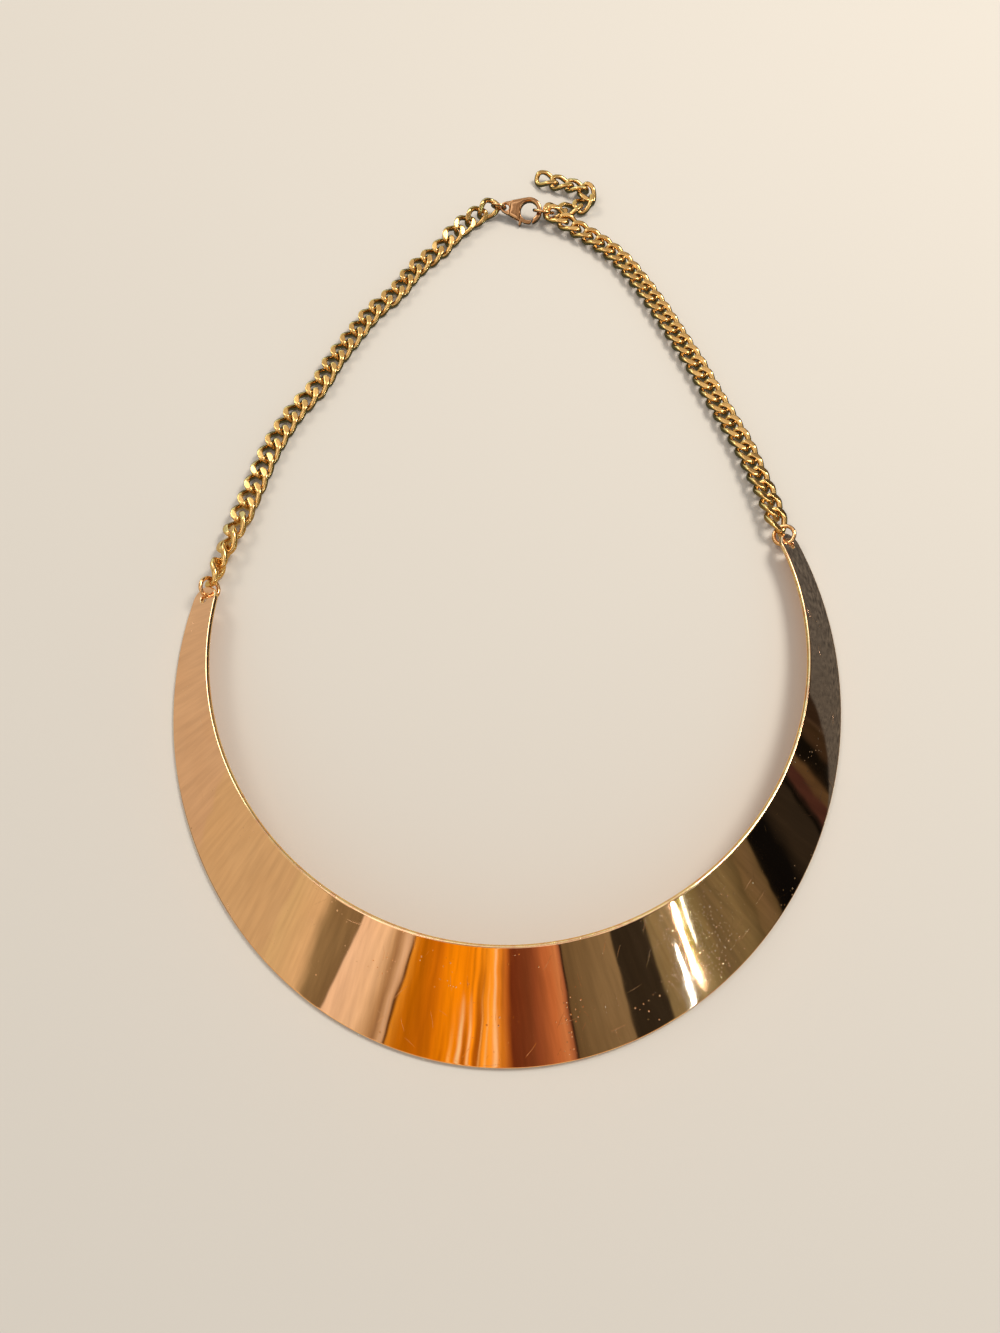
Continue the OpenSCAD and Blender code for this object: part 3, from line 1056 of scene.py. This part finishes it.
# The cards in order round the table, from behind the left arm to the back on the right.
CARDS = (
    Card(-180, "CC9A66", "CC9A66", 3),
    Card(-156, "D0A068", "DDA66E", 4),
    Card(-142.5, "8F6A40", "7B5833", 0.5),
    Card(-134.6, "F0B585", "EBB27F", 2),
    Card(-125, "D09A68", "AF7949", 1),
    Card(-121.4, "9A683F", "C08A5A", 1),
    Card(-119.2, "DDA678", "C89060", 0.4),
    Card(-117.7, "4A2208", "4A2208", 0.3),
    Card(-117.1, "E08420", "C46606", 1),
    Card(-114.5, "A65402", "C66206", 4),
    Card(-107, "E27804", "E87A04", 2),
    Card(-98, "E97E0A", "F08A1C", 2),
    Card(-91.5, "EC8828", "D8741A", 1),
    Card(-88.6, "B8601C", "A04A16", 0.8),
    Card(-86.3, "6A2A10", "733619", 1),
    Card(-80, "843E1E", "B8602F", 2),
    Card(-73.5, "C4703C", "9E5530", 0.6),
    Card(-70.6, "2A180C", "2A180C", 0.4),
    Card(-69.9, "654828", "86653F", 0.4),
    Card(-55, "302315", "322517", 0.5),
    Card(-45.6, "7E633C", "86693F", 1),
    Card(-42.2, "866A42", "8C7046", 1),
    Card(-37.6, "90784A", "7A6038", 1),
    Card(-31, "6C5333", "7C6038", 4),
    Card(-22, "5C4526", "6E512E", 3),
    Card(-18, "705231", "644A2A", 0.4),
    Card(-14.3, "0C0805", "0D0906", 3),
    Card(-6.5, "2E2114", "2C2014", 0.8),
    Card(1.2, "0C0804", "1A110A", 0.5),
    Card(2.9, "48271A", "432218", 0.5),
    Card(5.9, "573B20", "5A3D21", 0.6),
    Card(7.9, "130C06", "100B05", 1),
    Card(12.3, "3E2816", "33210F", 0.4),
    Card(15.9, "553C28", "553C28", 0.3),
    Card(16.4, "311F11", "2A1A0E", 4),
    Card(30, "3A2A1C", "3A2A1C", 8),
    Card(42, "A87844", "B88A58", 6),
    Card(62, "E8CDA0", "F6E0C0", 8),
    Card(114, "A87E4C", "B48A58", 10),
    Card(150, "CC9A66", "CC9A66", 12),
)

# Two lamps and a slat that show as streaks at the front right, and licks of light in the orange.
STRIPS = (
    Strip(-36.0, 0.35, 0.175, 2.0, "B9A03A"),
    Strip(-35.1, 0.12, 0.192, 2.0, "FFF6D0", 8.0),
    Strip(-39.9, 0.3, 0.12, 0.225, "FFFBEC", 16.0),
    Strip(-108.6, 0.6, -1.0, 0.32, "BE6004", 1.0, 1.2, 0.06),
    Strip(-104.4, 0.3, -1.0, 0.3, "C86404", 1.0, 0.8, 0.05),
    Strip(-101.6, 0.2, -1.0, 0.3, "F8A048", 1.0, 0.5, 0.04),
    Strip(-99.7, 0.15, -1.0, 0.325, "FFBE7C", 1.0, 0.4, 0.03),
    Strip(-98.6, 0.2, -1.0, 0.315, "B25606", 1.0, 0.5, 0.04),
    Strip(-97.6, 0.12, -1.0, 0.33, "FFB470", 1.0, 0.3, 0.04),
    Strip(-95.6, 0.5, -1.0, 0.36, "AE5206", 1.0, 0.8, 0.06),
    Strip(-94.9, 0.08, -1.0, 0.34, "F2A050", 1.0, 0.25, 0.04),
    Strip(-93.0, 0.1, -1.0, 0.35, "F6AC62", 1.0, 0.3, 0.05),
    Strip(-90.8, 0.2, -1.0, 2.0, "FFB878", 1.0, 0.4, 0.02),
)

# The cards at the right lean away from the front, more so the further round they stand. Those at the
# far left lean the other way.
LEANS = (Lean(-66, -12, 78, -60, 16, 0.3, -0.07), Lean(-138, -141, -70, -180, -100, 0.19, 0.19))

# Two softboxes, and a thin leaning lamp: the longest streak at the front right, which the pits catch too.
LAMPS = (
    Lamp("key_softbox", (0.45, 0.3, 0.75), (0.3, 0.3), 5, "FFF4E4"),
    Lamp("fill_softbox", (-0.5, 0.5, 0.7), (0.3, 0.3), 2, "FFF1DE"),
    Lamp(
        "thin_strip_lamp",
        (1.2175, -0.9685, 0.3295),
        (0.13889, 0.016),
        0.5,
        "FFF6E4",
        aim=(0.035, -0.104, 0.010),
        along=(0.029, 0.093, 0.099),
    ),
)


@dataclass(frozen=True)
class TableTop(NodeLook):
    """The table: plain matt board to the eye, and bands of colour where the metal mirrors it.

    Attributes:
        name: the material's name.
        paint: colour of the board as sRGB hex.
    """

    name: str = "matt_painted_board"
    paint: str = "DDDAD5"

    def in_metal(self) -> Node:
        """The table as the metal mirrors it: dark and grained at the right, plain colours elsewhere, and a
        dark patch between the chains that is partly painted shade.

        Returns:
            The node that gives the colour.
        """
        place = self.add("TexCoord").outputs["Object"]
        x, y, _ = self.add("SeparateXYZ", {0: place}).outputs
        grain = self.add("TexNoise", {"Scale": 520.0, "Detail": 2.0, "Vector": place})
        weave = [(0.32, behind_metal("3E342B")), (0.68, behind_metal("705F4D"))]
        ground = set_ramp(self.add("ValToRGB", {"Fac": grain}), weave)
        loop = {"Location": (0, 0.446, 0), "Scale": (1 / 0.075, 1 / 0.0883, 0), "Vector": place}
        far = self.add("VectorMath", {"operation": "LENGTH", 0: self.add("Mapping", loop)})

        # In front of the collar, at its left, and inside its outer edge, which lies where far is one.
        areas = ((y, -0.1, -0.12, "F09A5C"), (x, -0.072, -0.074, "CB986A"), (far, 1.03, 1.015, "C98A50"))
        for source, low, high, colour in areas:
            area = self.add("MapRange", {"From Min": low, "From Max": high, "Value": source})
            ground = self.add("Mix", {"data_type": "RGBA", 0: area, 6: ground, 7: behind_metal(colour)})

        # Between the chains it is dark, partly as the grained part at the right is, and partly painted shade:
        # it stands in for the shade of the chains, which the table does not take, since it glows to the
        # metal.
        behind = self.add("MapRange", {"From Min": -0.02, "From Max": 0.01, "Value": y})
        narrow = self.add("Math", {"operation": "ABSOLUTE", 0: x})
        middle = self.add("MapRange", {"From Min": 0.074, "From Max": 0.07, "Value": narrow})
        chains = self.add("Math", {"operation": "MULTIPLY", 0: behind, 1: middle})
        return self.add("Mix", {"data_type": "RGBA", 0: chains, 6: ground, 7: behind_metal("4A3F30")})

    def build(self) -> None:
        """Lays the table top under the piece."""
        bm = bmesh.new()
        bmesh.ops.create_grid(bm, x_segments=2, y_segments=2, size=3.0)
        mesh = bpy.data.meshes.new("table_top")
        bm.to_mesh(mesh)
        bm.free()
        paint = self.add("BsdfDiffuse", {"Color": linear(self.paint)})
        mirrored = self.add("Emission", {"Color": self.in_metal()})

        # To the metal the table ends beyond a slanting line at the right, and the cards go on below it.
        place = self.add("TexCoord").outputs["Object"]
        past = self.add("VectorMath", {"operation": "DOT_PRODUCT", 0: place, 1: (1.0, -1.0, 0.0)})
        beyond = self.add("MapRange", {"From Min": 0.17, "From Max": 0.175, "Value": past})
        shown = self.add("MixShader", {0: beyond, 1: mirrored, 2: self.add("BsdfTransparent")})
        to_metal = self.add("LightPath").outputs["Is Glossy Ray"]
        self.add("OutputMaterial", {"Surface": self.add("MixShader", {0: to_metal, 1: paint, 2: shown})})
        mesh.materials.append(self.data)
        add_object("table_top", mesh)


@dataclass(frozen=True)
class Surround(NodeLook):
    """What stands round the table: plain light to the eye, and in the metal the cards and strips.

    Attributes:
        name: the world's name.
        ramp_ends: compass angles at which one ramp of cards ends and the next starts.
        streak_strength: compass angles, each with how strong the fine upright streaks are there.
    """

    store: ClassVar[str] = "worlds"
    name: str = "studio_surround"
    ramp_ends: tuple[float, ...] = (-180, -100, -50, 2, 180)
    streak_strength: tuple[tuple[float, float], ...] = (
        (-180, 0.08), (-147, 0.1), (-140, 0.5), (-104, 0.6), (-99, 1.8), (-90, 1.8), (-86, 0.4), (180, 0.4)
    )

    def card_stops(self, low: float, high: float) -> Stops:
        """Ramp stops of the cards between two angles.

        Args:
            low: angle at the ramp's start.
            high: angle at the ramp's end.

        Returns:
            Two stops a card, one at each end of its plain part.
        """
        stops, before = [], 0.0
        for card, after in zip(CARDS, [card.start for card in CARDS[1:]] + [181]):
            for angle, code in ((card.start + before / 2, card.near), (after - card.soft / 2, card.far)):
                if low <= angle <= high:
                    stops.append(((angle - low) / (high - low), behind_metal(code)))
            before = card.soft
        return stops

    def leaning(self, angle: Source, height: NodeSocket) -> Source:
        """Compass angle with the lean of the cards taken off.

        Args:
            angle: compass angle of the ray in degrees.
            height: sine of the ray's angle above the table.

        Returns:
            The source of the angle in degrees.
        """
        for lean in LEANS:
            share = {"From Min": lean.start, "From Max": lean.full, "To Max": lean.turn, "Value": angle}
            ends = {"From Min": lean.low, "From Max": lean.high, "To Min": lean.first, "To Max": lean.last}
            middle = self.add("MapRange", {**ends, "Value": angle})
            above = self.add("Math", {"operation": "SUBTRACT", 0: middle, 1: height})
            most = self.add("MapRange", share)
            angle = self.add("Math", {"operation": "MULTIPLY_ADD", 0: most, 1: above, 2: angle})
        return angle

    def card_ring(self, angle: Source) -> Source:
        """The ring of cards.

        Args:
            angle: compass angle in degrees, its lean taken off.

        Returns:
            The source of the colour.
        """
        ring = None
        for low, high in zip(self.ramp_ends, self.ramp_ends[1:]):
            share = self.add("MapRange", {"From Min": low, "From Max": high, "Value": angle})
            cards = set_ramp(self.add("ValToRGB", {"Fac": share}), self.card_stops(low, high))
            if ring:
                later = self.add("Math", {"operation": "GREATER_THAN", 0: angle, 1: low})
                cards = self.add("Mix", {"data_type": "RGBA", 0: later, 6: ring, 7: cards})
            ring = cards
        return ring

    def with_strips(self, ring: Source, angle: Source, height: NodeSocket) -> Source:
        """Stands the strips in front of the ring of cards.

        Args:
            ring: colour of the cards.
            angle: compass angle in degrees, its lean taken off.
            height: sine of the ray's angle above the table.

        Returns:
            The source of the colour.
        """
        for strip in STRIPS:
            off = self.add("Math", {"operation": "SUBTRACT", 0: angle, 1: strip.middle})
            away = self.add("Math", {"operation": "ABSOLUTE", 0: off})
            shown = None
            for value, edge, inside in (
                (away, strip.half + strip.soft, strip.half),
                (height, strip.foot, strip.foot + strip.fade),
                (height, strip.head, strip.head - strip.fade),
            ):
                part = self.add("MapRange", {"From Min": edge, "From Max": inside, "Value": value})
                shown = self.add("Math", {"operation": "MULTIPLY", 0: shown, 1: part}) if shown else part
            light = behind_metal(strip.colour, strip.level)
            ring = self.add("Mix", {"data_type": "RGBA", 0: shown, 6: ring, 7: light})
        return ring

    def build(self) -> None:
        """Makes the world: plain light to the camera and the floor, cards to the metal."""
        bpy.context.scene.world = self.data
        self.data.cycles.sampling_method = "NONE"
        direction = self.add("TexCoord").outputs["Generated"]
        x, y, height = self.add("SeparateXYZ", {0: direction}).outputs
        around = self.add("Math", {"operation": "ARCTAN2", 0: y, 1: x})
        angle = self.add("Math", {"operation": "DEGREES", 0: around})

        # The cards hang in slight folds: their edges waver, by more degrees at the front left.
        place = self.add("CombineXYZ", {0: around, 1: height})
        folds = self.add("Mapping", {"Scale": (7.0, 5.0, 1.0), "Vector": place})
        waver = self.add("TexNoise", {"Scale": 1.0, "Detail": 1.5, "Vector": folds})
        swing = self.add("Math", {"operation": "SUBTRACT", 0: waver, 1: 0.5})
        widths = {"From Min": -84, "From Max": -90, "To Min": 1.146, "To Max": 4.011, "Value": angle}
        most, upright = self.add("MapRange", widths), self.leaning(angle, height)
        pushed = self.add("Math", {"operation": "MULTIPLY_ADD", 0: swing, 1: most, 2: upright})
        ring = self.card_ring(pushed)

        # Fine upright streaks, and a little more light towards the top of the cards.
        pleats = self.add("Mapping", {"Scale": (46.0, 2.4, 1.0), "Vector": place})
        streaks = self.add("TexNoise", {"Scale": 1.0, "Detail": 2.0, "Vector": pleats})
        turned = self.add("MapRange", {"From Min": -180, "From Max": 180, "Value": angle})
        strengths = [((a + 180) / 360, (s, s, s, 1.0)) for a, s in self.streak_strength]
        strong = set_ramp(self.add("ValToRGB", {"Fac": turned}), strengths)
        swing = self.add("Math", {"operation": "SUBTRACT", 0: streaks, 1: 0.5})
        shade = self.add("Math", {"operation": "MULTIPLY_ADD", 0: swing, 1: strong, 2: 1.0})
        paler = {"From Min": 0.2, "From Max": 0.42, "To Min": 1.0, "To Max": 1.2, "Value": height}
        light = self.add("Math", {"operation": "MULTIPLY", 0: shade, 1: self.add("MapRange", paler)})
        shaded = self.add("VectorMath", {"operation": "MULTIPLY", 0: ring, 1: light})
        lit = self.with_strips(shaded, pushed, height)

        # The dome above: cream, brighter and dimmer in patches.
        clouds = self.add("TexNoise", {"Scale": 3.2, "Detail": 1.0, "Vector": direction})
        bright = tuple(2.5 * c for c in linear("FFF8EE")[:3])
        creams = [(0.36, linear("A08C74")), (0.55, linear("E6D3BC")), (0.66, (*bright, 1.0))]
        patches = set_ramp(self.add("ValToRGB", {"Fac": clouds}), creams)
        smooth = {"interpolation_type": "SMOOTHSTEP", "From Min": 0.45, "From Max": 0.7, "Value": height}
        dome = self.add("Mix", {"data_type": "RGBA", 0: self.add("MapRange", smooth), 6: lit, 7: patches})
        mirrored = self.add("Background", {"Color": dome})
        plain = self.add("Background", {"Color": linear("F2EEE8"), "Strength": 0.55})
        to_metal = self.add("LightPath").outputs["Is Glossy Ray"]
        self.add("OutputWorld", {"Surface": self.add("MixShader", {0: to_metal, 1: plain, 2: mirrored})})


@dataclass
class Studio:
    """Table, surround, lamps and camera.

    Attributes:
        camera_at: the camera's place in mm.
        camera_turn: its angle below level, its heading and its roll, in degrees.
        lens: its focal length in mm on a 36 mm sensor.
    """

    camera_at: Place = (3.2, -149.3, 201.6)
    camera_turn: Place = (62.0, 2.53, 0.77)
    lens: float = 27.0

    def camera(self) -> None:
        """Sets the camera at the photograph's angle."""
        data = bpy.data.cameras.new("camera")
        data.lens = self.lens
        data.clip_start = 0.01
        below, heading, roll = map(math.radians, self.camera_turn)
        level = Matrix.Rotation(heading, 4, "Z") @ Matrix.Rotation(math.pi / 2 - below, 4, "X")
        camera = add_object("camera", data)
        at = Matrix.Translation(Vector(self.camera_at) * MM)
        camera.matrix_world = at @ (level @ Matrix.Rotation(-roll, 4, "Z"))
        bpy.context.scene.camera = camera

    def build(self) -> None:
        """Sets up the whole studio."""
        bpy.context.scene.view_settings.view_transform = "Standard"
        for item in (TableTop(), Surround(), *LAMPS):
            item.build()
        self.camera()


def main() -> None:
    """Builds the studio and then the necklace, piece by piece."""
    logging.basicConfig(level=logging.INFO, format="%(name)s %(message)s")
    Studio().build()

    # Brass sheet, plated rose gold and wheel polished: a warm mirror with faint strokes across the band.
    rubbed = (48.0, -1.5, 12.5)
    sheet = PolishedPlating("rose_gold_plated_sheet", "EFBFA0", worn="F8DDB0", uv=BAND_UV, rubbed_at=rubbed)
    CollarPlate().build(sheet.build())

    # Drawn wire and cast metal, plated and tumbled: softer highlights, finer marks than in the sheet.
    small = {"scratch": 2.4, "scratch_width": 0.06, "pit": 1.1, "pit_radius": 0.06}
    small |= {"mark_depth": 0.001, "haze": 2.5, "ripple": 0.008}
    wire = PolishedPlating("rose_gold_plated_wire", "DDB184", 0.12, **small).build()
    gold = PolishedPlating("gold_plated_steel_links", "DAB67A", 0.2, **small).build()
    # The casting is the same rose gold plating as the wire, tinted darker: painted shade, for the darker
    # things that the clasp mirrors.
    shaded_casting = PolishedPlating("rose_gold_plated_casting", "B28A66", 0.16, **small).build()
    WireRing("ring_left", "jump_ring_left", 2.45, 0.95, 40).build(wire)
    WireRing("ring_right", "jump_ring_right", 2.45, 0.95, 140).build(wire)
    WireRing("ring_end", "end_ring", 2.8, 0.9, 80).build(wire)
    WireRing("ring_clasp", "clasp_ring", 2.0, 0.8, 60).build(wire)
    CurbChain("links_left", "chain_left").build(gold)
    CurbChain("links_right", "chain_right", seed=8).build(gold)
    CurbChain("links_tail", "chain_tail", wire=1.42, sway=1.0, seed=3).build(gold)
    outline = ClaspShape()
    CastPiece("clasp_claw", "clasp_body", outline, core=0.62).build(shaded_casting)
    CastPiece("clasp_latch", "clasp_lever", outline, 0.06, 16, body=Body.LEVER).build(shaded_casting)


if __name__ == "__main__":
    main()
